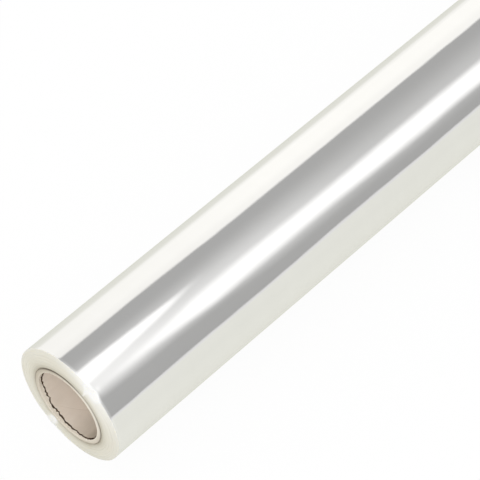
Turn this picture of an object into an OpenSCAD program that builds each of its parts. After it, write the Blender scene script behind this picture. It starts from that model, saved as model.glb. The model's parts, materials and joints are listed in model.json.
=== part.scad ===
// Roll of cling film: clear film wound on a cardboard tube.
// The roll lies along X, on the narrow flat that its own weight presses into the film.
// The origin is on the surface that it lies on, under the middle of the roll. +Z is up.

/* [Film] */
// Width of the film, which is the length of the roll
film_w = 450; // [250:10:600]
// Thickness of the wound film, from the tube out to the last turn
wound_t = 10.5; // [6:0.5:40]
// Radial width of the slope in each end face, where the edges of the outer turns lie back
slope_w = 7; // [2:0.25:9]
// How far the outer end of that slope lies back from the flat round the tube
slope_back = 1.45; // [0.4:0.05:3]
// Radial width of the rounded edge between the slope and the outside
edge_w = 0.5; // [0.2:0.1:1]
// Length of the rounded edge along the roll
edge_back = 0.35; // [0.15:0.05:1]
// Bevel of the innermost turns, on the film's side of the fine dark line round the tube
film_bevel = 0.3; // [0.1:0.05:0.6]
// Height of the step where the last turn ends
tail_step = 0.16; // [0.06:0.02:0.4]
// Distance between the turns that show as a spiral groove in the flat of each end face
turn_pitch = 0.9; // [0.6:0.1:2]
// Depth of that groove
groove_depth = 0.1; // [0.04:0.02:0.2]

/* [Cardboard tube] */
// Bore of the tube, which a spindle or an end plug fits
bore_d = 38; // [25:0.5:77]
// Wall of the tube
tube_wall = 3; // [2:0.25:6]
// Bevel of the tube's outer edges, on the tube's side of the fine dark line
tube_bevel = 0.45; // [0.1:0.05:0.8]
// Thickness of the tube's innermost ply
ply_t = 0.45; // [0.2:0.05:0.8]
// How far that ply is torn back at the near end
ply_back = 2; // [0.3:0.1:4]
// Bevel of the bore at the far end
bore_bevel = 0.3; // [0.1:0.1:0.6]

/* [Resting] */
// Width of the flat that the roll lies on
flat_w = 8; // [5:0.5:10]

/* [Hidden] */
$fn = 120;

half_w = film_w / 2;
bore_r = bore_d / 2;
tube_r = bore_r + tube_wall;
film_r = tube_r + wound_t;

// Height of the roll's axis over the surface, with the flat pressed in
axis_z = sqrt(film_r * film_r - flat_w * flat_w / 4);

// The slope is as wide as it can be between the innermost turns and the rounded edge
slope_run = min(slope_w, wound_t - edge_w - film_bevel);

// Full turns of the groove that fit between the innermost turns and the slope
groove_turns = floor((wound_t - edge_w - slope_run - film_bevel) / turn_pitch) - 1;
groove_half_w = turn_pitch / 4;

// Straight steps that the section of the slope and of the rounded edge are made of
SLOPE_STEPS = 8;
EDGE_STEPS = 3;
// How the slope steepens towards the outside, as a power of the distance from its inner end
SLOPE_POWER = 1.6;
// Overshoot of the cutting shapes
CUT = 1;

// Lays a shape that was made along Z down along X, at the height of the roll's axis.
// Its +X side then faces down and its +Y side stays where it is.
module lay_down() {
    translate([0, 0, axis_z]) rotate([0, 90, 0]) children();
}

// Half a turn of a profile, on the lower half of the roll
module lower_half_turn() {
    rotate(-90) rotate_extrude(angle = 180) children();
}

// Half a turn of a profile, on the upper half. Its centre is moved towards the back (+Y) by shift,
// so that a profile which is larger by shift meets the lower half at the front,
// and lands two shifts further out at the back. Half turns in this way make a spiral.
module upper_half_turn(shift) {
    translate([0, shift, 0]) rotate(90) rotate_extrude(angle = 180) children();
}

// One end of the film's section out to the radius r, as points of radius and depth:
// the slope, which steepens outwards, and then the rounded edge, a quarter of an ellipse
function end_outline(r) = concat(
    [
        for (i = [0 : SLOPE_STEPS])
            let (t = i / SLOPE_STEPS)
            [r - edge_w - slope_run * (1 - t), slope_back * pow(t, SLOPE_POWER)]
    ],
    [
        for (i = [1 : EDGE_STEPS])
            let (a = 90 * i / EDGE_STEPS)
            [r - edge_w + edge_w * sin(a), slope_back + edge_back * (1 - cos(a))]
    ]
);

// Section through the wound film, out to the radius r
module film_section(r) {
    outline = end_outline(r);
    near_side = [for (p = outline) [p[0], p[1] - half_w]];
    far_side = [for (i = [len(outline) - 1 : -1 : 0]) [outline[i][0], half_w - outline[i][1]]];
    polygon(concat([[0, half_w], [0, -half_w]], near_side, far_side));
}

// A narrow V at the radius r, pointing into the near and the far end face
module groove_section(r) {
    for (dir = [-1, 1])
        polygon([
            [r, dir * (half_w - groove_depth)],
            [r - groove_half_w, dir * half_w],
            [r - groove_half_w, dir * (half_w + CUT)],
            [r + groove_half_w, dir * (half_w + CUT)],
            [r + groove_half_w, dir * half_w]
        ]);
}

// The groove between the turns, wound outwards by half turns
module turn_groove() {
    for (i = [1 : 1 : groove_turns]) {
        r = tube_r + i * turn_pitch;
        lower_half_turn() groove_section(r);
        upper_half_turn(turn_pitch / 2) groove_section(r + turn_pitch / 2);
    }
}

// The seat of the tube in the film, which opens out in a bevel at both ends
module tube_seat() {
    mouth_r = tube_r + film_bevel;
    rotate_extrude()
        polygon([
            [0, -half_w - CUT],
            [mouth_r + CUT, -half_w - CUT],
            [tube_r, -half_w + film_bevel],
            [tube_r, half_w - film_bevel],
            [mouth_r + CUT, half_w + CUT],
            [0, half_w + CUT]
        ]);
}

// Film wound on the tube. The last turn ends in a low step along the back.
module film_roll() {
    color("whitesmoke") difference() {
        lay_down() {
            lower_half_turn() film_section(film_r);
            upper_half_turn(tail_step / 2) film_section(film_r + tail_step / 2);
        }
        lay_down() tube_seat();
        lay_down() turn_groove();
        translate([0, 0, -film_r]) cube([film_w + 2 * CUT, 2 * film_r, 2 * film_r], center = true);
    }
}

// Cardboard tube, cut flush with the film, with its inner ply torn back at the near end
module core_tube() {
    color("tan") lay_down() rotate_extrude()
        polygon([
            [bore_r + ply_t, -half_w],
            [tube_r - tube_bevel, -half_w],
            [tube_r, -half_w + tube_bevel],
            [tube_r, half_w - tube_bevel],
            [tube_r - tube_bevel, half_w],
            [bore_r + bore_bevel, half_w],
            [bore_r, half_w - bore_bevel],
            [bore_r, -half_w + ply_back],
            [bore_r + ply_t, -half_w + ply_back]
        ]);
}

core_tube();
film_roll();
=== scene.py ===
"""A roll of cling film: the looks of clear film wound on a cardboard tube.

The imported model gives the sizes. Two meshes replace its two solids: the wound film, with a
mirror-glossy outside and milky cut edges at the ends, and the cardboard tube with its torn inner ply.
"""

import json
import math
import random
from collections import namedtuple

import bpy
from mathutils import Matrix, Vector


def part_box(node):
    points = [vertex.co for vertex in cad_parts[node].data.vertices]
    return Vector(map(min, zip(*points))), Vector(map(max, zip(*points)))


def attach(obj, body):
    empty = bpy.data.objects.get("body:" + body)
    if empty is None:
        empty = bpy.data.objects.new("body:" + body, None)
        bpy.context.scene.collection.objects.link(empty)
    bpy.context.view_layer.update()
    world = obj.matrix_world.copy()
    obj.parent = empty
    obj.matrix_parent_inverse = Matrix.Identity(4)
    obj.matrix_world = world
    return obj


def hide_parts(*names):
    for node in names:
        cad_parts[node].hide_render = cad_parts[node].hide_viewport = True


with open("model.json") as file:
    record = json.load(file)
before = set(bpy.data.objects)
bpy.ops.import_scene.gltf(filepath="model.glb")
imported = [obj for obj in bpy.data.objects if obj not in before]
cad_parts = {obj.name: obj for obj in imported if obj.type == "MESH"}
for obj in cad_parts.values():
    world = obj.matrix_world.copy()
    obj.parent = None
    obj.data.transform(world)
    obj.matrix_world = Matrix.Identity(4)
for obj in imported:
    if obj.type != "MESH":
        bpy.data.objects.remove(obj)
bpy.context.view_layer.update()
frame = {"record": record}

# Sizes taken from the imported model, in metres
MM = 0.001
BORE = next(m for m in frame["record"]["mounts"] if m["name"] == "tube_bore")
BORE_R = BORE["dims"]["r_mm"] * MM
AXIS_Z = BORE["pos_m"][2]
FILM_LOW, FILM_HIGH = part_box("film_roll")
HALF = FILM_HIGH.x
FILM_R = -FILM_LOW.y
TAIL_STEP = FILM_HIGH.y - FILM_R
TUBE_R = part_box("core_tube")[1].y

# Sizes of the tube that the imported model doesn't tell, the same as in its source
PLY_T = 0.45 * MM
PLY_BACK = 2.0 * MM
TUBE_BEVEL = 0.45 * MM
BORE_BEVEL = 0.3 * MM

# Directions round the roll are angles from straight up, in degrees, growing towards the front (-Y)
FRONT = 90
BACK = -90


def round_point(x, r, angle):
    """The point at a radius and an angle round the roll's axis, kept above the surface it lies on."""
    a = math.radians(angle)
    return (x, -r * math.sin(a), max(AXIS_Z + r * math.cos(a), FILM_LOW.z))


def smooth(a, b, x):
    """0 up to a, 1 from b on, and smooth between them."""
    t = min(max((x - a) / (b - a), 0), 1)
    return t * t * (3 - 2 * t)


def hump(distance, half_width):
    """1 at no distance, falling smoothly to 0 at half_width on either side."""
    return 1 - smooth(0, half_width, abs(distance))


def turned(angle, centre):
    """How far the angle is from the centre, the short way round, in degrees."""
    return (angle - centre + 180) % 360 - 180


def near_angle(angle, centre, half_width):
    """1 at the centre angle, falling smoothly to 0 at half_width degrees on either side."""
    return hump(turned(angle, centre), half_width)


# Camera

# The photograph's view, fitted to the outlines of the roll and of the tube
VIEW_AZIMUTH = -46.461
VIEW_ELEVATION = 51.802
LENS = 178.26
SENSOR = 36
CLIP_START = 0.01
CAMERA_AT = Vector((-0.6204, -0.4860, 0.9470))


def make_camera():
    """The camera of the photograph."""
    azimuth, elevation = math.radians(VIEW_AZIMUTH), math.radians(VIEW_ELEVATION)
    flat = math.cos(elevation)
    forward = Vector((-flat * math.sin(azimuth), flat * math.cos(azimuth), -math.sin(elevation)))
    data = bpy.data.cameras.new("camera")
    data.lens = LENS
    data.sensor_width = SENSOR
    data.clip_start = CLIP_START
    camera = bpy.data.objects.new("camera", data)
    camera.location = CAMERA_AT
    camera.rotation_euler = forward.to_track_quat("-Z", "Y").to_euler()
    bpy.context.scene.collection.objects.link(camera)
    bpy.context.scene.camera = camera


# Node helpers

# A place on the roll, as sockets: the point, how far it is along the roll in metres, its angle round
# the axis in radians, and its radius in metres
Place = namedtuple("Place", "point along angle radius")

# The attribute of the film's mesh that says how much the film is painted white: where it is crushed, and
# as painted highlight and painted light
PRESSED_AND_LIT = "pressed"


class Nodes:
    """A short way to write a node tree. A value may be a number, a colour or another node's output."""

    def __init__(self, tree):
        self.tree = tree
        tree.nodes.clear()

    def add(self, kind, **settings):
        """A new node with its settings."""
        node = self.tree.nodes.new(kind)
        for name, value in settings.items():
            setattr(node, name, value)
        return node

    def put(self, value, socket):
        """Puts a value into a socket."""
        if isinstance(value, (int, float)):
            socket.default_value = value
        elif isinstance(value, tuple):
            socket.default_value = (*value, 1)
        else:
            self.tree.links.new(value, socket)

    def put_all(self, values, sockets):
        """Puts values into sockets, in their order."""
        for value, socket in zip(values, sockets):
            self.put(value, socket)

    def output(self, shader, kind="ShaderNodeOutputMaterial"):
        """Ends the tree with this shader."""
        self.put(shader, self.add(kind).inputs[0])

    def math(self, operation, *values):
        """The result of a math operation."""
        node = self.add("ShaderNodeMath", operation=operation)
        self.put_all(values, node.inputs)
        return node.outputs[0]

    def between(self, value, low, high, to_low=0.0, to_high=1.0, smooth_ends=True):
        """value from low..high to to_low..to_high, clamped."""
        node = self.add("ShaderNodeMapRange", clamp=True)
        node.interpolation_type = "SMOOTHSTEP" if smooth_ends else "LINEAR"
        self.put_all((value, low, high, to_low, to_high), node.inputs)
        return node.outputs[0]

    def towards(self, share, value, goal):
        """value, moved towards the goal by the share."""
        way = self.math("SUBTRACT", goal, value)
        return self.math("ADD", value, self.math("MULTIPLY", share, way))

    def weighed(self, a, share, b):
        """a for its share, and b for the rest."""
        rest = self.math("MULTIPLY", b, 1 - share)
        return self.math("ADD", self.math("MULTIPLY", a, share), rest)

    def facing(self, angle, degrees):
        """1 where the angle is this many degrees, falling to -1 opposite it."""
        return self.math("COSINE", self.math("SUBTRACT", angle, math.radians(degrees)))

    def vector(self, x, y, z):
        """A vector from its three parts."""
        node = self.add("ShaderNodeCombineXYZ")
        self.put_all((x, y, z), node.inputs)
        return node.outputs[0]

    def place(self):
        """The place on the roll that is shaded."""
        coord = self.add("ShaderNodeTexCoord")
        split = self.add("ShaderNodeSeparateXYZ")
        self.put(coord.outputs["Object"], split.inputs[0])
        up = self.math("SUBTRACT", split.outputs[2], AXIS_Z)
        front = self.math("MULTIPLY", split.outputs[1], -1.0)
        angle = self.math("ARCTAN2", front, up)
        squares = self.math("ADD", self.math("POWER", front, 2.0), self.math("POWER", up, 2.0))
        return Place(coord.outputs["Object"], split.outputs[0], angle, self.math("SQRT", squares))

    def pressed(self):
        """How much the film is painted white here, where it is crushed and as painted highlight and
        light.
        """
        return self.add("ShaderNodeAttribute", attribute_name=PRESSED_AND_LIT).outputs["Fac"]

    def noise(self, vector, scale, detail, roughness=0.5, stretch=(1, 1, 1)):
        """A noise from 0 to 1 over a vector."""
        mapping = self.add("ShaderNodeMapping")
        mapping.inputs["Scale"].default_value = stretch
        self.put(vector, mapping.inputs[0])
        node = self.add("ShaderNodeTexNoise")
        node.inputs["Scale"].default_value = scale
        node.inputs["Detail"].default_value = detail
        node.inputs["Roughness"].default_value = roughness
        self.put(mapping.outputs[0], node.inputs["Vector"])
        return node.outputs[0]

    def ramp(self, value, stops):
        """A colour for a value from 0 to 1. stops are (place, colour)."""
        node = self.add("ShaderNodeValToRGB")
        elements = node.color_ramp.elements
        # A new stop may start anywhere, since it is then moved to its place
        while len(elements) < len(stops):
            elements.new(0.5)
        for element, (place, colour) in zip(elements, stops):
            element.position = place
            element.color = (*colour, 1)
        self.put(value, node.inputs[0])
        return node.outputs[0]

    def mix(self, factor, a, b):
        """Colour a, or colour b as the factor goes to 1."""
        node = self.add("ShaderNodeMix", data_type="RGBA", blend_type="MIX")
        # A mix node has sockets for other kinds of value too. Those of its colours are 6 and 7.
        self.put_all((factor, a, b), (node.inputs[0], node.inputs[6], node.inputs[7]))
        return node.outputs[2]

    def blend(self, factor, a, b):
        """Shader a, or shader b as the factor goes to 1."""
        node = self.add("ShaderNodeMixShader")
        self.put_all((factor, a, b), node.inputs)
        return node.outputs[0]

    def glowing(self, share, glow, paint):
        """A shader that glows with a colour for its share, and is painted for the rest."""
        light = self.add("ShaderNodeEmission")
        surface = self.add("ShaderNodeBsdfDiffuse")
        self.put(glow, light.inputs[0])
        self.put(paint, surface.inputs[0])
        return self.blend(share, surface.outputs[0], light.outputs[0])

    def bump(self, height, distance, strength=1.0):
        """A normal for a relief."""
        node = self.add("ShaderNodeBump")
        node.inputs["Strength"].default_value = strength
        node.inputs["Distance"].default_value = distance
        self.put(height, node.inputs["Height"])
        return node.outputs[0]


def bare_material(name):
    """A new empty material and its nodes."""
    made = bpy.data.materials.new(name)
    made.use_nodes = True
    return made, Nodes(made.node_tree)


def material(name):
    """A new material, its nodes and its shader."""
    made, nodes = bare_material(name)
    shader = nodes.add("ShaderNodeBsdfPrincipled")
    nodes.output(shader.outputs[0])
    return made, nodes, shader


# Materials

# Colours are red, green and blue. Stops of a ramp are (place, colour). A range turns one value into
# another, as (low, high, result at low, result at high). A bump is (height in metres, strength).
WHITE = (1.0, 1.0, 1.0)
FILM_IOR = 1.5

# The outside of the film: faint bands round it, a haze, and ripples over trapped air
SIDE_BANDS = dict(scale=90.0, detail=3.0)
SIDE_HAZE = dict(scale=30.0, detail=4.0, stretch=(0.25, 1, 1))
SIDE_RIPPLES = dict(scale=5.0, detail=2.0, stretch=(6, 0.6, 1))
RIPPLE_HEIGHT = 0.06 * MM
BANDS_SHARE = 0.5
SIDE_STOPS = [(0.3, (0.935, 0.93, 0.917)), (0.7, (0.96, 0.956, 0.945))]
# The share of its light that it mirrors. It scatters the rest.
SIDE_MIRROR = 0.57
SIDE_ROUGHNESS = (0.3, 0.75, 0.035, 0.075)
PRESSED_ROUGHNESS = 0.3


def film_side_material():
    """The outside of the roll: hundreds of clear layers, which mirror and glow white at once."""
    made, nodes, shader = material("film_side")
    place = nodes.place()
    # The bands come from slight differences in the film's thickness
    bands = nodes.noise(nodes.vector(place.along, 0.0, 0.0), **SIDE_BANDS)
    haze = nodes.noise(place.point, **SIDE_HAZE)
    colour = nodes.ramp(nodes.weighed(bands, BANDS_SHARE, haze), SIDE_STOPS)
    # Where the film is crushed it is white and doesn't mirror, and that white is partly painted
    # highlight
    pressed = nodes.pressed()
    mirror = nodes.math("MULTIPLY", nodes.math("SUBTRACT", 1.0, pressed), SIDE_MIRROR)
    rough = nodes.math("ADD", nodes.between(haze, *SIDE_ROUGHNESS),
                       nodes.math("MULTIPLY", pressed, PRESSED_ROUGHNESS))
    nodes.put(nodes.mix(pressed, colour, WHITE), shader.inputs["Base Color"])
    nodes.put(mirror, shader.inputs["Metallic"])
    nodes.put(rough, shader.inputs["Roughness"])
    shader.inputs["IOR"].default_value = FILM_IOR
    ripple = nodes.noise(nodes.vector(place.along, place.angle, 0.0), **SIDE_RIPPLES)
    nodes.put(nodes.bump(ripple, RIPPLE_HEIGHT), shader.inputs["Normal"])
    return made


# The film stands off the tube most over the top, and less along the front, and the shade in that gap is
# painted. Each is (angle, half width of the widest part, half width of all of it, strength of the
# painted shade), and the last is the strength elsewhere.
GAP_SHADE_TOP = (-15, 12, 62, 0.8)
GAP_SHADE_FRONT = (80, 5, 60, 0.52)
GAP_SHADE_ELSEWHERE = 0.15


def gap_shade_at(nodes, angle, centre, widest, closed, size):
    """One part of the painted shade in the gap between the film and the tube."""
    away = nodes.math("ABSOLUTE", nodes.math("SUBTRACT", angle, math.radians(centre)))
    return nodes.between(away, math.radians(widest), math.radians(closed), size, 0.0)


def gap_shade(nodes, angle):
    """How strong the painted shade in the gap between the film and the tube is at an angle, which leaves
    a dark line round the tube.
    """
    top = gap_shade_at(nodes, angle, *GAP_SHADE_TOP)
    front = gap_shade_at(nodes, angle, *GAP_SHADE_FRONT)
    return nodes.math("ADD", nodes.math("ADD", top, front), GAP_SHADE_ELSEWHERE)


# The end faces of the film, from the tube out to the rim. They are darker near the tube: partly the
# tube's brown seen through the film, and partly painted shade.
END_STOPS = [(0.0, (0.45, 0.41, 0.325)), (0.076, (0.53, 0.495, 0.405)), (0.143, (0.61, 0.575, 0.475)),
             (0.24, (0.675, 0.64, 0.54)), (0.38, (0.73, 0.70, 0.60)), (0.57, (0.755, 0.725, 0.63)),
             (0.81, (0.76, 0.735, 0.65)), (1.0, (0.775, 0.755, 0.68))]
# Painted light: they are palest low on the back
BACK_LIGHT_ANGLE = -128
BACK_LIGHT_RANGE = (0.2, 1.0, 0.0, 0.35)
BACK_LIGHT_COLOUR = (0.86, 0.83, 0.73)
# Painted shade: the innermost turns are darker where they stand off the tube
GAP_SHADE_RANGE = (TUBE_R + 0.2 * MM, TUBE_R + 0.9 * MM, 0.8, 0.0)
GAP_SHADE_COLOUR = (0.25, 0.21, 0.15)
# The turns show as noise that changes with the radius, and a little with the angle
TURN_LINES = dict(scale=2600.0, detail=3.0, roughness=0.6)
LINES_WANDER = 0.0004
LINES_RANGE = (0.35, 0.7, 0.0, 0.02)
LINES_COLOUR = (0.60, 0.57, 0.45)
LINES_BUMP = (0.01 * MM, 0.3)
END_CLOUDS = dict(scale=70.0, detail=3.0)
CLOUDS_RANGE = (0.4, 0.7, 0.0, 0.15)
CLOUDS_COLOUR = (0.82, 0.80, 0.72)
# The white of crushed film, also painted highlight and painted light
END_PRESSED_AND_LIT = (0.99, 0.985, 0.965)
END_ROUGHNESS = (0.3, 0.7, 0.24, 0.4)
END_SPECULAR = 0.25
# Light enters the cut edges and scatters in them
END_SCATTER = 0.35
END_SCATTER_COLOUR = (1.0, 0.95, 0.8)
END_SCATTER_DEPTH = 2 * MM


def film_end_material():
    """The cut edges of the turns: milky and cream, with fine turn lines, darker towards the tube."""
    made, nodes, shader = material("film_end")
    place = nodes.place()
    out = nodes.between(place.radius, TUBE_R, FILM_R, smooth_ends=False)
    wander = nodes.math("MULTIPLY", place.angle, LINES_WANDER)
    lines = nodes.noise(nodes.vector(place.radius, wander, 0.0), **TURN_LINES)
    cloud = nodes.noise(place.point, **END_CLOUDS)
    # Painted shade of the gap round the tube
    gap = nodes.math("MULTIPLY", gap_shade(nodes, place.angle), nodes.between(place.radius, *GAP_SHADE_RANGE))
    # Painted light, palest low on the back
    pale = nodes.between(nodes.facing(place.angle, BACK_LIGHT_ANGLE), *BACK_LIGHT_RANGE)
    colour = nodes.mix(pale, nodes.ramp(out, END_STOPS), BACK_LIGHT_COLOUR)
    colour = nodes.mix(gap, colour, GAP_SHADE_COLOUR)
    colour = nodes.mix(nodes.between(lines, *LINES_RANGE), colour, LINES_COLOUR)
    colour = nodes.mix(nodes.between(cloud, *CLOUDS_RANGE), colour, CLOUDS_COLOUR)
    # Painted highlight and light where the film is painted white
    nodes.put(nodes.mix(nodes.pressed(), colour, END_PRESSED_AND_LIT), shader.inputs["Base Color"])
    nodes.put(nodes.between(lines, *END_ROUGHNESS), shader.inputs["Roughness"])
    shader.inputs["Subsurface Weight"].default_value = END_SCATTER
    shader.inputs["Subsurface Radius"].default_value = END_SCATTER_COLOUR
    shader.inputs["Subsurface Scale"].default_value = END_SCATTER_DEPTH
    shader.inputs["IOR"].default_value = FILM_IOR
    shader.inputs["Specular IOR Level"].default_value = END_SPECULAR
    nodes.put(nodes.bump(lines, *LINES_BUMP), shader.inputs["Normal"])
    return made


# The bore: fibres along the tube, over a mottle
BORE_FIBRES = dict(scale=420.0, detail=4.0, roughness=0.65, stretch=(0.35, 1, 1))
BORE_MOTTLE = dict(scale=60.0, detail=3.0)
FIBRES_SHARE = 0.6
# These colours are paler than the kraft paper is: painted light against the shade inside the tube
BORE_STOPS = [(0.3, (0.84, 0.745, 0.64)), (0.5, (0.89, 0.795, 0.695)), (0.7, (0.94, 0.855, 0.755))]
BORE_ROUGHNESS = 0.85
BORE_BUMP = (0.12 * MM, 0.8)
BORE_RELIEF = 0.4
# Painted light: it is paler further in, against the deeper shade there
DEEP_LIGHT_RANGE = (2 * MM - HALF, 13 * MM - HALF, 0.0, 0.8)
DEEP_LIGHT_COLOUR = (0.98, 0.885, 0.785)
# Painted shade: it is darkest low on the front
LOW_SHADE_ANGLE = 128
LOW_SHADE_WIDE = (0.35, 1.0, 0.0, 0.45)
LOW_SHADE_NARROW = (0.9, 1.0, 0.0, 0.3)
LOW_SHADE_COLOUR = (0.36, 0.31, 0.235)
# Its paper is a strip that climbs by one pitch a turn, with a fine seam
WINDING_PITCH = 105 * MM
SEAM_HALF_W = 0.006
SEAM_SHADE = 0.05
SEAM_COLOUR = (0.45, 0.37, 0.29)


def winding_seam(nodes, place):
    """The seam between the windings of the bore's paper, as 0 to 1."""
    climb = nodes.math("ADD", nodes.math("DIVIDE", place.along, WINDING_PITCH),
                       nodes.math("DIVIDE", place.angle, 2 * math.pi))
    # Whole turns are added so that the climb is above 0 all along the tube
    strip = nodes.math("FRACT", nodes.math("ADD", climb, 10.0))
    away = nodes.math("ABSOLUTE", nodes.math("SUBTRACT", strip, 0.5))
    return nodes.math("SUBTRACT", 1.0, nodes.between(away, 0.0, SEAM_HALF_W))


def card_bore_material():
    """The inside of the tube: grey-brown kraft paper, wound in a spiral with fine fibres."""
    made, nodes, shader = material("card_bore")
    place = nodes.place()
    seam = winding_seam(nodes, place)
    fibre = nodes.noise(place.point, **BORE_FIBRES)
    mottle = nodes.noise(place.point, **BORE_MOTTLE)
    # Painted shade, darkest low on the front
    to_low_shade = nodes.facing(place.angle, LOW_SHADE_ANGLE)
    low_shade = nodes.math("ADD", nodes.between(to_low_shade, *LOW_SHADE_WIDE), nodes.between(to_low_shade, *LOW_SHADE_NARROW))
    colour = nodes.ramp(nodes.weighed(fibre, FIBRES_SHARE, mottle), BORE_STOPS)
    # Painted light, paler further in
    colour = nodes.mix(nodes.between(place.along, *DEEP_LIGHT_RANGE), colour, DEEP_LIGHT_COLOUR)
    colour = nodes.mix(low_shade, colour, LOW_SHADE_COLOUR)
    colour = nodes.mix(nodes.math("MULTIPLY", seam, SEAM_SHADE), colour, SEAM_COLOUR)
    nodes.put(colour, shader.inputs["Base Color"])
    shader.inputs["Roughness"].default_value = BORE_ROUGHNESS
    height = nodes.math("SUBTRACT", nodes.math("MULTIPLY", fibre, BORE_RELIEF),
                        nodes.math("MULTIPLY", seam, BORE_RELIEF))
    nodes.put(nodes.bump(height, *BORE_BUMP), shader.inputs["Normal"])
    return made


# The cut end of the tube: thin plies, which wander a little with the angle, and grit
CUT_PLIES = dict(scale=3200.0, detail=2.0)
PLIES_WANDER = 0.00015
CUT_GRIT = dict(scale=900.0, detail=3.0, roughness=0.7)
PLIES_SHARE = 0.7
CUT_STOPS = [(0.3, (0.58, 0.515, 0.415)), (0.5, (0.70, 0.64, 0.535)), (0.7, (0.79, 0.735, 0.63))]
CUT_ROUGHNESS = 0.9
CUT_BUMP = (0.08 * MM, 0.6)
# Fresh board shows where the inner ply is gone
FRESH_RANGE = (BORE_R + PLY_T + 0.02 * MM, BORE_R + PLY_T + 0.3 * MM, 0.9, 0.0)
FRESH_COLOUR = (0.95, 0.88, 0.77)
# Painted light and shade: it is lightest on the front, and darkest on the top of the back
LIT_FRONT_ANGLE = 58
LIT_FRONT_RANGE = (0.6, 1.0, 0.0, 0.6)
LIT_FRONT_COLOUR = (0.90, 0.85, 0.75)
SHADED_BACK_ANGLE = -55
SHADED_BACK_RANGE = (0.5, 1.0, 0.0, 0.4)
SHADED_BACK_COLOUR = (0.42, 0.37, 0.27)
# Painted shade: its outer edge is dark brown where the film leaves a gap round it
CUT_SHADE_WIDE = (TUBE_R - 1.8 * MM, TUBE_R - 0.5 * MM, 0.0, 0.35)
CUT_SHADE_NARROW = (TUBE_R - TUBE_BEVEL * 1.4, TUBE_R - TUBE_BEVEL, 0.0, 0.65)
CUT_SHADE_COLOUR = (0.09, 0.065, 0.045)


def card_cut_material():
    """The cut end of the tube: cream board in thin plies."""
    made, nodes, shader = material("card_cut")
    place = nodes.place()
    wander = nodes.math("MULTIPLY", place.angle, PLIES_WANDER)
    plies = nodes.noise(nodes.vector(place.radius, wander, 0.0), **CUT_PLIES)
    grit = nodes.noise(place.point, **CUT_GRIT)
    # Painted shade in the gap between the tube and the film
    brown = nodes.math("ADD", nodes.between(place.radius, *CUT_SHADE_WIDE),
                       nodes.between(place.radius, *CUT_SHADE_NARROW))
    brown = nodes.math("MULTIPLY", brown, gap_shade(nodes, place.angle))
    # Painted light on the front, painted shade on the top of the back
    lit_front = nodes.between(nodes.facing(place.angle, LIT_FRONT_ANGLE), *LIT_FRONT_RANGE)
    shaded_back = nodes.between(nodes.facing(place.angle, SHADED_BACK_ANGLE), *SHADED_BACK_RANGE)
    colour = nodes.ramp(nodes.weighed(plies, PLIES_SHARE, grit), CUT_STOPS)
    colour = nodes.mix(nodes.between(place.radius, *FRESH_RANGE), colour, FRESH_COLOUR)
    colour = nodes.mix(lit_front, colour, LIT_FRONT_COLOUR)
    colour = nodes.mix(shaded_back, colour, SHADED_BACK_COLOUR)
    nodes.put(nodes.mix(brown, colour, CUT_SHADE_COLOUR), shader.inputs["Base Color"])
    shader.inputs["Roughness"].default_value = CUT_ROUGHNESS
    nodes.put(nodes.bump(grit, *CUT_BUMP), shader.inputs["Normal"])
    return made


# The torn edge of the inner ply, dark brown, with painted shadow over it and over the strip before it
TEAR_FRAY = dict(scale=1200.0, detail=3.0, roughness=0.7)
TEAR_SHADED_STOPS = [(0.35, (0.022, 0.010, 0.004)), (0.7, (0.12, 0.07, 0.035))]
TEAR_ROUGHNESS = 0.95
TEAR_BUMP = (0.1 * MM, 0.8)


def card_tear_shaded_material():
    """The torn edge of the inner ply and the dark strip before it: dark brown, frayed, with painted
    shadow.
    """
    made, nodes, shader = material("card_tear_shaded")
    fray = nodes.noise(nodes.place().point, **TEAR_FRAY)
    nodes.put(nodes.ramp(fray, TEAR_SHADED_STOPS), shader.inputs["Base Color"])
    shader.inputs["Roughness"].default_value = TEAR_ROUGHNESS
    nodes.put(nodes.bump(fray, *TEAR_BUMP), shader.inputs["Normal"])
    return made


# Meshes

# Edges that turn by more degrees than this stay sharp
SHARP_FROM = 35


def ring_mesh(name, rings, bands, materials):
    """A closed mesh through rings of points. bands says which material is on the faces after each ring,
    and the last ring joins the first."""
    count = len(rings[0])
    vertices = [p for ring in rings for p in ring]
    faces, slots = [], []
    for i in range(len(rings)):
        j = (i + 1) % len(rings)
        for k in range(count):
            m = (k + 1) % count
            faces.append((i * count + k, i * count + m, j * count + m, j * count + k))
            slots.append(bands[i])
    mesh = bpy.data.meshes.new(name)
    mesh.from_pydata(vertices, [], faces)
    for made in materials:
        mesh.materials.append(made)
    mesh.polygons.foreach_set("material_index", slots)
    mesh.shade_smooth()
    mesh.set_sharp_from_angle(angle=math.radians(SHARP_FROM))
    mesh.validate()
    piece = bpy.data.objects.new(name, mesh)
    bpy.context.scene.collection.objects.link(piece)
    return piece


# Wound film

COLUMNS = 360
# The narrow step where the last turn ends is spread over this angle
STEP_ANGLE = 0.12
# The outermost edge is rounded
EDGE_W = 0.5 * MM
EDGE_BACK = 0.35 * MM
EDGE_STEPS = 5
# The end faces are flat round the tube. Further out the turns lie back in a smooth slope.
SLOPE_W = 7.0 * MM
SLOPE_FROM = FILM_R - EDGE_W - SLOPE_W
SLOPE_BACK = 0.95 * MM
SLOPE_POWER = 1.6
SLOPE_STEPS = 20
# The innermost edge has a small bevel, which leaves a fine dark line round the tube
INNER_BEVEL = 0.3 * MM
# Distance between the turns that show in the end faces, and the depth of the groove between them.
# A higher power makes the groove narrower.
TURN_PITCH = 0.9 * MM
GROOVE_DEPTH = 0.02 * MM
GROOVE_POWER = 6
# Rings of points across the flat of an end face, and along the outside, where they lie closer
# together near the ends. At a crowding of 1 the outermost would lie on each other.
FLAT_RINGS = 14
SIDE_RINGS = 90
CROWDING = 0.72
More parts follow.
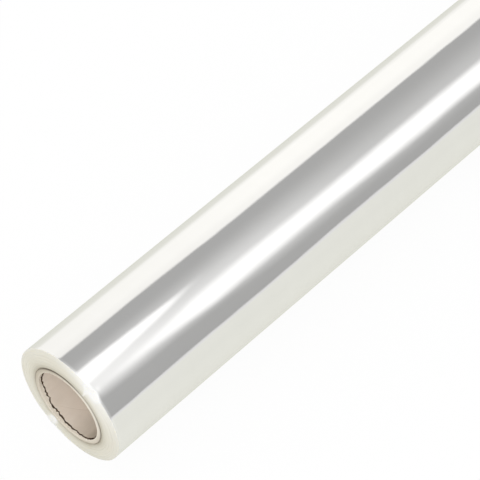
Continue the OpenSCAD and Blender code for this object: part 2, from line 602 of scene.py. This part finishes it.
# A crease runs across the near end face. It starts a little out from the tube, widens, and bends.
CREASE_ANGLE = 29.5
CREASE_DEPTH = 0.12 * MM
CREASE_FROM = TUBE_R + 0.5 * MM
CREASE_FULL = TUBE_R + 4 * MM
CREASE_HALF_W = 1.8
CREASE_FLARE = 4.0
CREASE_FLARE_FROM = TUBE_R + 2 * MM
CREASE_BEND = 2.0
# The rim beside it is pushed along the roll, and a little out
BULGE_ANGLE = 33.5
BULGE_HALF_W = 9
BULGE_ALONG = 1.2 * MM
BULGE_OUT = 0.05 * MM
# How far along the outside this goes on, and the share of the push there
BULGE_LENGTH = 5 * MM
BULGE_SIDE = 0.9
# Opposite it, a nick where the rim stands out from the slope
NICK_ANGLE = 208
NICK_HALF_W = 6
NICK_FORWARD = 0.25 * MM
# Height of the low waves on the outside, and the waves, as (share of the height, waves round the
# roll, radians in a metre along it, phase)
WAVE = 0.03 * MM
WAVES = [(0.5, 3, 21, 0.6), (0.3, 5, -34, 2.1), (0.2, 2, 83, 0)]
# Slacker waves along the front: height, angle, half width, waves round the roll, length, x of a crest
SLACK = 0.1 * MM
SLACK_ANGLE = 48
SLACK_HALF_W = 50
SLACK_WAVES = 4
SLACK_LENGTH = 105 * MM
SLACK_CREST = -0.11
# Where the near end face is painted white: at the rim beside the crease, wide round that, over the top,
# and low on the back, as painted highlight and painted light over the crushed rim. Each is (level,
# angle, half width, radius where it starts, where it is full).
PRESSED_AND_LIT_PLACES = [
    (1.0, BULGE_ANGLE, 12, FILM_R - 6.5 * MM, FILM_R - 0.5 * MM),
    (0.4, 42, 52, TUBE_R, FILM_R - 4 * MM),
    (0.4, 20, 42, FILM_R - 4.5 * MM, FILM_R - 1 * MM),
    (0.9, 201, 32, FILM_R - 4 * MM, FILM_R - 1.3 * MM),
]
PRESSED_AND_LIT_MOST = 0.85
# The crease is painted white too, from the tube out, and so is the nick: crushed film with painted
# highlight
CREASE_PRESSED_AND_LIT = 0.6
NICK_PRESSED_AND_LIT = (1.5, NICK_ANGLE, NICK_HALF_W + 3, TUBE_R - 0.2 * MM, TUBE_R + 1.0 * MM)
# On the outside, the place beside the crease painted white, crushed film with painted highlight: level,
# half width and length along the roll
SIDE_PRESSED_AND_LIT = 0.8
SIDE_PRESSED_AND_LIT_HALF_W = 8
SIDE_PRESSED_AND_LIT_LENGTH = 1.2 * MM


def column_angles():
    """The angles of the columns of points, from the last turn's step at the back over the top."""
    return [BACK + (360 - STEP_ANGLE) * i / (COLUMNS - 1) for i in range(COLUMNS)]


def last_turn(angle):
    """How far the last turn stands out: nothing on the lower half, growing over the top to the back."""
    a = math.radians(angle)
    return TAIL_STEP / 2 * (1 - math.sin(a)) if FRONT > angle >= BACK else 0


def waves(x, angle):
    """Low waves along and round the outside, as tight film has."""
    a = math.radians(angle)
    low = sum(share * math.sin(times * a + along * x + phase) for share, times, along, phase in WAVES)
    slack = math.sin(SLACK_WAVES * (a - math.radians(SLACK_ANGLE)))
    slack *= near_angle(angle, SLACK_ANGLE, SLACK_HALF_W)
    slack *= math.cos(2 * math.pi * (x - SLACK_CREST) / SLACK_LENGTH)
    return WAVE * (low - 1) + SLACK * (slack - 1)


def crease(angle, r):
    """The crease across the near end face, a thin line at the tube that widens into the bulge."""
    centre = CREASE_ANGLE - CREASE_BEND * smooth(TUBE_R, FILM_R, r)
    half_width = CREASE_HALF_W + CREASE_FLARE * smooth(CREASE_FLARE_FROM, FILM_R, r)
    return near_angle(angle, centre, half_width)


def end_relief(r, angle, side):
    """How far a point of an end face lies in from the smooth shape of the end."""
    turns = (r - TUBE_R) / TURN_PITCH - turned(angle, BACK) / 360
    groove = max(0, math.cos(2 * math.pi * turns)) ** GROOVE_POWER
    relief = GROOVE_DEPTH * groove * (1 - smooth(SLOPE_FROM - TURN_PITCH, SLOPE_FROM, r))
    if side < 0:
        relief += CREASE_DEPTH * crease(angle, r) * smooth(CREASE_FROM, CREASE_FULL, r)
    return relief


def film_stations():
    """The film's section from the tube to the outside, as (radius, distance in from the end, share of
    the outside's own shape that a point has, share of the end face's relief)."""
    flat_from = TUBE_R + INNER_BEVEL
    stations = [(TUBE_R, INNER_BEVEL, 0, 0), (flat_from, 0, 0, 1)]
    for i in range(1, FLAT_RINGS):
        stations.append((flat_from + (SLOPE_FROM - flat_from) * i / FLAT_RINGS, 0, 0, 1))
    for i in range(SLOPE_STEPS):
        t = i / SLOPE_STEPS
        stations.append((SLOPE_FROM + SLOPE_W * t, SLOPE_BACK * t ** SLOPE_POWER, t, 1))
    for i in range(EDGE_STEPS + 1):
        a = math.pi / 2 * i / EDGE_STEPS
        r, inward = FILM_R - EDGE_W + EDGE_W * math.sin(a), SLOPE_BACK + EDGE_BACK * (1 - math.cos(a))
        stations.append((r, inward, 1, 1 - i / EDGE_STEPS))
    return stations


def bulge(angle):
    """The rim's bulge beside the crease."""
    return near_angle(angle, BULGE_ANGLE, BULGE_HALF_W)


def film_ring(r, inward, share, rough, side, angles):
    """One ring of points of the end face or of the rim."""
    ring = []
    for angle in angles:
        depth = inward + end_relief(r, angle, side) * rough
        radius = r + (last_turn(angle) + waves(side * HALF, angle)) * share
        if side < 0:
            depth += BULGE_ALONG * bulge(angle) * share ** 2
            depth -= NICK_FORWARD * near_angle(angle, NICK_ANGLE, NICK_HALF_W) * share ** 2
            radius += BULGE_OUT * bulge(angle) * share
        ring.append(round_point(side * (HALF - depth), radius, angle))
    return ring


def side_ring(x, inward, angles):
    """One ring of points of the outside, at x, this far in from the near rim."""
    ring = []
    for angle in angles:
        push = bulge(angle) * (1 - smooth(0, BULGE_LENGTH, inward))
        radius = FILM_R + last_turn(angle) + waves(x, angle) + BULGE_OUT * push
        ring.append(round_point(x + BULGE_ALONG * push * BULGE_SIDE, radius, angle))
    return ring


def pressed_place(angle, r, level, centre, half_width, start, full):
    """How much one place of the near end is painted white, as highlight and light."""
    return level * near_angle(angle, centre, half_width) * smooth(start, full, r)


def pressed(angle, r):
    """How much the film at this place of the near end is painted white, as highlight and light."""
    line = CREASE_PRESSED_AND_LIT * crease(angle, r) * smooth(TUBE_R, CREASE_FLARE_FROM, r)
    places = sum([pressed_place(angle, r, *place) for place in PRESSED_AND_LIT_PLACES], line)
    return min(1, min(PRESSED_AND_LIT_MOST, places) + pressed_place(angle, r, *NICK_PRESSED_AND_LIT))


def pressed_side(angle, inward):
    """How much the outside is painted white as a highlight at this distance from the near end."""
    round_roll = near_angle(angle, BULGE_ANGLE, SIDE_PRESSED_AND_LIT_HALF_W)
    return SIDE_PRESSED_AND_LIT * round_roll * hump(inward, SIDE_PRESSED_AND_LIT_LENGTH)


def make_film(materials):
    """The wound film, from the near end's seat of the tube, over the outside, to the far end's."""
    side_of_roll, end_of_roll = 0, 1
    angles = column_angles()
    stations = film_stations()
    rings = [film_ring(*station, -1, angles) for station in stations]
    bands = [end_of_roll] * (len(stations) - 1) + [side_of_roll]
    marks = [pressed(angle, station[0]) for station in stations for angle in angles]
    low, high = -HALF + SLOPE_BACK + EDGE_BACK, HALF - SLOPE_BACK - EDGE_BACK
    for i in range(1, SIDE_RINGS):
        t = i / SIDE_RINGS
        x = low + (high - low) * (t - CROWDING * math.sin(2 * math.pi * t) / (2 * math.pi))
        rings.append(side_ring(x, x - low, angles))
        bands.append(side_of_roll)
        marks += [pressed_side(angle, x - low) for angle in angles]
    rings += [film_ring(*station, 1, angles) for station in reversed(stations)]
    bands += [end_of_roll] * len(stations)
    piece = ring_mesh("wound_film", rings, bands, materials)
    mark = piece.data.attributes.new(PRESSED_AND_LIT, "FLOAT", "POINT")
    mark.data.foreach_set("value", marks + [0] * (len(piece.data.vertices) - len(marks)))
    return piece


# Cardboard tube

SEED = 11
# The torn edge: big jags and small ones, as (columns apart, how far they reach)
JAGS = [(9, 0.38 * MM), (4, 0.32 * MM), (2, 0.2 * MM)]
# The outer side of the ply is torn less far back than its inner side
TEAR_SLANT = 0.12 * MM
# Where the ply is torn back least, and how much less the edge is jagged there
TEAR_SHALLOW_ANGLE = 110
TEAR_SHALLOW_HALF_W = 110
TEAR_SHALLOW_BY = 1.3 * MM
TEAR_SHALLOW_CALM = 0.6
# The dark strip before the torn edge, painted shadow on the wall, from its narrowest to its widest. Its
# width is jagged as well, so many columns apart, by a swing round a mean. It stays clear of the cut end.
TEAR_DARK = (0.15 * MM, 0.7 * MM)
DARK_COLUMNS = 3
DARK_MEAN = 0.5
DARK_SWING = 0.6
DARK_CLEAR = 0.1 * MM
# The strip is wider and reaches further in here
BLOT_ANGLE = 131
BLOT_HALF_W = 12
BLOT = 0.6 * MM
BORE_RINGS = 60


def jagged(draw, every):
    """A broken line between random heights from -1 to 1, one height each so many columns."""
    corners = [draw.uniform(-1, 1) for _ in range(COLUMNS // every)]
    line = []
    for k in range(COLUMNS):
        i, t = divmod(k / every, 1)
        line.append(corners[int(i)] * (1 - t) + corners[(int(i) + 1) % len(corners)] * t)
    return line


def blot(angle):
    """How much further the torn edge and its dark strip reach in at this angle."""
    return BLOT * near_angle(angle, BLOT_ANGLE, BLOT_HALF_W)


def torn_edge(angles, draw):
    """How far the inner ply is torn back in each column, with sharp jags."""
    jags = [(jagged(draw, every), reach) for every, reach in JAGS]
    back = []
    for k, angle in enumerate(angles):
        shallow = near_angle(angle, TEAR_SHALLOW_ANGLE, TEAR_SHALLOW_HALF_W)
        jag = sum(line[k] * reach for line, reach in jags) * (1 - TEAR_SHALLOW_CALM * shallow)
        back.append(PLY_BACK - TEAR_SHALLOW_BY * shallow + jag + blot(angle))
    return back


def dark_strip(angles, draw):
    """How wide the dark strip before the torn edge is in each column."""
    narrow, wide = TEAR_DARK
    return [narrow + (wide - narrow) * max(0, DARK_MEAN + DARK_SWING * w) + blot(angle)
            for w, angle in zip(jagged(draw, DARK_COLUMNS), angles)]


def make_tube(materials):
    """The tube, from the torn ply, over the near end and the outside, to the far end and the bore."""
    bore, cut, tear_shaded = 0, 1, 2
    # The same columns as the film's, so that the dark line between the two is even
    angles = column_angles()
    draw = random.Random(SEED)
    inner = torn_edge(angles, draw)
    outer = [t - TEAR_SLANT for t in inner]
    clear = [max(t - w, DARK_CLEAR) for t, w in zip(outer, dark_strip(angles, draw))]
    rings, bands = [], []

    def ring(r, x, band):
        places = x if isinstance(x, list) else [x] * COLUMNS
        rings.append([round_point(place, r, angle) for place, angle in zip(places, angles)])
        bands.append(band)

    # The torn edge and the strip before it: dark brown with painted shadow
    ring(BORE_R, [-HALF + t for t in inner], tear_shaded)
    ring(BORE_R + PLY_T, [-HALF + t for t in outer], tear_shaded)
    ring(BORE_R + PLY_T, [-HALF + t for t in clear], cut)
    ring(BORE_R + PLY_T, -HALF, cut)
    ring(TUBE_R - TUBE_BEVEL, -HALF, cut)
    ring(TUBE_R, -HALF + TUBE_BEVEL, cut)
    ring(TUBE_R, HALF - TUBE_BEVEL, cut)
    ring(TUBE_R - TUBE_BEVEL, HALF, cut)
    ring(BORE_R + BORE_BEVEL, HALF, cut)
    low, high = -HALF + 2 * PLY_BACK, HALF - BORE_BEVEL
    for i in range(BORE_RINGS):
        ring(BORE_R, high + (low - high) * i / (BORE_RINGS - 1), bore)
    return ring_mesh("cardboard_tube", rings, bands, materials)


# Studio. The film is a mirror, so what stands round it is drawn as cards that only reflections see.


def drift(nodes, along, ends, smooth_ends=False):
    """A value that changes along the roll between two ends, each (x in metres, value)."""
    (first_x, first), (last_x, last) = ends
    return nodes.between(along, first_x, last_x, first, last, smooth_ends)


FLOOR_SIZE = 12
FLOOR_PAINT = (0.76, 0.76, 0.75)
# Shares of the floor that glow, for the camera and in reflections. The rest takes the shadow.
FLOOR_GLOW_SEEN = 0.94
FLOOR_GLOW_MIRRORED = 0.9
FLOOR_PAINT_MIRRORED = (0.7, 0.7, 0.68)
# Its colour in reflections, and its lighter colour close before the roll, which comes in over the
# first range of y and goes out over the second
FLOOR_MIRRORED = (0.687, 0.691, 0.605)
FLOOR_CLOSE = (0.757, 0.761, 0.67)
CLOSE_STARTS = (-0.12, -0.03)
CLOSE_ENDS = (0.0, 0.03, 1.0, 0.0)
# Behind the roll it sweeps up into the white wall, from one y to another, which both drift
SWEEP_FROM = ((0.12, 0.15), (0.22, 0.10))
SWEEP_TO = ((0.12, 0.42), (0.22, 0.36))
SWEEP_COLOUR = (1.0, 0.99, 0.945)


def mirrored_floor(nodes):
    """The colour of the floor in reflections."""
    split = nodes.add("ShaderNodeSeparateXYZ")
    nodes.put(nodes.add("ShaderNodeTexCoord").outputs["Object"], split.inputs[0])
    x, y = split.outputs[0], split.outputs[1]
    close = nodes.math("MULTIPLY", nodes.between(y, *CLOSE_STARTS), nodes.between(y, *CLOSE_ENDS))
    sweep = nodes.between(y, drift(nodes, x, SWEEP_FROM), drift(nodes, x, SWEEP_TO))
    return nodes.mix(sweep, nodes.mix(close, FLOOR_MIRRORED, FLOOR_CLOSE), SWEEP_COLOUR)


def make_floor():
    """A plain pale floor, white with a shadow for the camera, and a little darker for the film."""
    bpy.ops.mesh.primitive_plane_add(size=FLOOR_SIZE, location=(0, 0, 0))
    floor = bpy.context.object
    floor.name = "floor"
    made, nodes = bare_material("floor")
    path = nodes.add("ShaderNodeLightPath")
    pale = nodes.add("ShaderNodeBsdfDiffuse")
    nodes.put(FLOOR_PAINT, pale.inputs[0])
    seen = nodes.glowing(FLOOR_GLOW_SEEN, WHITE, WHITE)
    mirrored = nodes.glowing(FLOOR_GLOW_MIRRORED, mirrored_floor(nodes), FLOOR_PAINT_MIRRORED)
    either = nodes.blend(path.outputs["Is Glossy Ray"], pale.outputs[0], mirrored)
    nodes.output(nodes.blend(path.outputs["Is Camera Ray"], either, seen))
    floor.data.materials.append(made)


def edge(nodes, degrees, at, soft):
    """0 before the angle at and 1 past it, blurred over soft degrees on either side."""
    past = nodes.math("DIVIDE", nodes.math("SUBTRACT", degrees, at), soft)
    return nodes.between(past, -1.0, 1.0)


def card(nodes, degrees, start, start_soft, end, end_soft):
    """A card from one angle to another round the dome, as 0 to 1."""
    before_end = nodes.math("SUBTRACT", 1.0, edge(nodes, degrees, end, end_soft))
    return nodes.math("MULTIPLY", edge(nodes, degrees, start, start_soft), before_end)


# The cards stand on a dome, a half cylinder that runs from this many degrees on the back, over the
# top, to as many on the front. SOFT is by how many degrees an edge is blurred on either side.
DOME_R = 0.7
DOME_HALF = 2.4
DOME_EDGE = 92
DOME_SEGMENTS = 96
# Level where no card stands
DARK_LEVEL = 0.015

# A white wall behind, which stands a little further back along the near part of the roll
WALL_START = -100.0
WALL_START_SOFT = 4.0
WALL_END = ((0.11, -42.8), (0.24, -38.2))
WALL_END_MORE = ((0.25, 0), (0.4, 1.0))
WALL_END_SOFT = 3.0
WALL_LEVEL = ((0.05, 0.96), (0.3, 1.07))
WALL_TOP_RANGE = (-64.0, -42.0, 1.0, 0.9)


def wall(nodes, degrees, along):
    """Level of the white wall behind."""
    end = nodes.math("ADD", drift(nodes, along, WALL_END, smooth_ends=True),
                     drift(nodes, along, WALL_END_MORE))
    shape = card(nodes, degrees, WALL_START, WALL_START_SOFT, end, WALL_END_SOFT)
    level = nodes.math("MULTIPLY", shape, drift(nodes, along, WALL_LEVEL))
    return nodes.math("MULTIPLY", level, nodes.between(degrees, *WALL_TOP_RANGE))


# A ceiling that grows lighter towards the front, and then ends
CEILING_RANGE = (-25.0, 29.5)
CEILING_LEVEL = ((0.07, 0.84), (0.37, 0.30))
CEILING_END = ((0.05, 45.5), (0.3, 60.5))
CEILING_END_SOFT = ((0.05, 11.5), (0.3, 15))


def ceiling(nodes, degrees, along):
    """Level of the ceiling."""
    level = nodes.math("MULTIPLY", nodes.between(degrees, *CEILING_RANGE),
                       drift(nodes, along, CEILING_LEVEL))
    end = edge(nodes, degrees, drift(nodes, along, CEILING_END), drift(nodes, along, CEILING_END_SOFT))
    return nodes.math("MULTIPLY", level, nodes.math("SUBTRACT", 1.0, end))


# A pale line where the floor ends in front
HORIZON_START = ((0.08, 88.2), (0.3, 87.4))
HORIZON_SOFT = 1.9
HORIZON_LEVEL = 0.62


def horizon(nodes, degrees, along):
    """Level of the horizon in front."""
    start = edge(nodes, degrees, drift(nodes, along, HORIZON_START), HORIZON_SOFT)
    return nodes.math("MULTIPLY", start, HORIZON_LEVEL)


# A strip light over the front, which starts as a point near the end of the roll and widens along it
STRIP_START = ((0.06, 36), (0.15, 24))
STRIP_START_MORE = ((0.2, 0), (0.4, 1.5))
STRIP_START_SOFT = 7.0
STRIP_END = ((0.06, 35), (0.17, 50.5))
STRIP_END_MORE = ((0.31, 0), (0.42, 5))
STRIP_END_SOFT = 7.5
STRIP_FROM = (0.045, 0.075)
STRIP_LEVEL = 1.2
# The film's slack shows as a wave in its lower edge: x of a crest, length, height and mean in degrees
STRIP_CREST = 0.134
STRIP_WAVE_LENGTH = 0.2
STRIP_WAVE = 1.3
STRIP_WAVE_MEAN = 0.6


def strip_light(nodes, degrees, along):
    """The strip light over the front, as 0 to 1."""
    start = nodes.math("ADD", drift(nodes, along, STRIP_START), drift(nodes, along, STRIP_START_MORE))
    end = nodes.math("ADD", drift(nodes, along, STRIP_END), drift(nodes, along, STRIP_END_MORE))
    turns = nodes.math("MULTIPLY", nodes.math("SUBTRACT", along, STRIP_CREST),
                       2 * math.pi / STRIP_WAVE_LENGTH)
    wave = nodes.math("MULTIPLY", nodes.math("COSINE", turns), STRIP_WAVE)
    end = nodes.math("ADD", end, nodes.math("ADD", wave, STRIP_WAVE_MEAN))
    shape = card(nodes, degrees, start, STRIP_START_SOFT, end, STRIP_END_SOFT)
    return nodes.math("MULTIPLY", shape, nodes.between(along, *STRIP_FROM))


# A wedge of light over the near end, which narrows along the roll from both sides and fades
WEDGE_START = ((0.043, -3.4), (0.143, 0.8))
WEDGE_END = ((0.0, 29.0), (0.2, 0.0))
WEDGE_SOFT = 4.0
WEDGE_FADE = (0.12, 0.18, 1.0, 0.0)
WEDGE_LEVEL = 1.25


def wedge_light(nodes, degrees, along):
    """The wedge of light over the near end, as 0 to 1."""
    start, end = drift(nodes, along, WEDGE_START), drift(nodes, along, WEDGE_END)
    shape = card(nodes, degrees, start, WEDGE_SOFT, end, WEDGE_SOFT)
    return nodes.math("MULTIPLY", shape, nodes.between(along, *WEDGE_FADE))


def studio_level(nodes, degrees, along):
    """Brightness of the dome: the wall, the ceiling and the horizon, with the two lights over them."""
    level = nodes.math("ADD", wall(nodes, degrees, along), ceiling(nodes, degrees, along))
    level = nodes.math("ADD", level, horizon(nodes, degrees, along))
    level = nodes.math("ADD", level, DARK_LEVEL)
    level = nodes.towards(strip_light(nodes, degrees, along), level, STRIP_LEVEL)
    return nodes.towards(wedge_light(nodes, degrees, along), level, WEDGE_LEVEL)


# The wall and what it lights are a little warm, up to here, and the lights are white
WARM_COLOUR = (1.0, 0.988, 0.945)
WARM_END = (-45.0, -25.0)


def cards_material():
    """The light of the cards."""
    made, nodes = bare_material("studio_cards")
    place = nodes.place()
    degrees = nodes.math("MULTIPLY", place.angle, 180 / math.pi)
    glow = nodes.add("ShaderNodeEmission")
    nodes.put(nodes.mix(nodes.between(degrees, *WARM_END), WARM_COLOUR, WHITE), glow.inputs[0])
    nodes.put(studio_level(nodes, degrees, place.along), glow.inputs[1])
    nodes.output(glow.outputs[0])
    return made


def make_dome():
    """The cards round the film, on a half cylinder along the roll."""
    vertices, faces = [], []
    for i in range(DOME_SEGMENTS + 1):
        a = math.radians(-DOME_EDGE + 2 * DOME_EDGE * i / DOME_SEGMENTS)
        y, z = -DOME_R * math.sin(a), AXIS_Z + DOME_R * math.cos(a)
        vertices += [(-DOME_HALF, y, z), (DOME_HALF, y, z)]
    for i in range(DOME_SEGMENTS):
        faces.append((2 * i, 2 * i + 1, 2 * i + 3, 2 * i + 2))
    mesh = bpy.data.meshes.new("studio_cards")
    mesh.from_pydata(vertices, [], faces)
    mesh.materials.append(cards_material())
    dome = bpy.data.objects.new("studio_cards", mesh)
    bpy.context.scene.collection.objects.link(dome)
    dome.visible_camera = False
    dome.visible_diffuse = False
    dome.visible_transmission = False
    dome.visible_shadow = False


LAMP_POWER = 6.4
LAMP_SIZE = 0.9
LAMP_AT = Vector((-1.93, -0.70, 0.79))


def make_lamp():
    """A soft lamp beyond the near end, above the front, which reflections don't see."""
    data = bpy.data.lights.new("lamp", "AREA")
    data.size = LAMP_SIZE
    data.energy = LAMP_POWER
    lamp = bpy.data.objects.new("lamp", data)
    lamp.location = LAMP_AT
    lamp.rotation_euler = (Vector((-HALF, 0, AXIS_Z)) - LAMP_AT).to_track_quat("-Z", "Y").to_euler()
    lamp.visible_glossy = False
    bpy.context.scene.collection.objects.link(lamp)


# Level of the soft light from all round, and of what reflections see past the cards
SKY = 0.955
PAST_CARDS = 0.55


def make_world():
    """White behind everything for the camera, a soft light on the object, grey past the cards."""
    world = bpy.data.worlds.new("studio")
    bpy.context.scene.world = world
    world.use_nodes = True
    nodes = Nodes(world.node_tree)
    path = nodes.add("ShaderNodeLightPath")
    level = nodes.mix(path.outputs["Is Camera Ray"], (SKY, SKY, SKY), WHITE)
    level = nodes.mix(path.outputs["Is Glossy Ray"], level, (PAST_CARDS, PAST_CARDS, PAST_CARDS))
    background = nodes.add("ShaderNodeBackground")
    nodes.put(level, background.inputs[0])
    nodes.output(background.outputs[0], "ShaderNodeOutputWorld")


# Scene

make_camera()
film = make_film([film_side_material(), film_end_material()])
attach(film, "root")
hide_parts("film_roll")

tube = make_tube([card_bore_material(), card_cut_material(), card_tear_shaded_material()])
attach(tube, "root")
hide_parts("core_tube")

make_floor()
make_dome()
make_lamp()
make_world()
bpy.context.scene.view_settings.view_transform = "Standard"
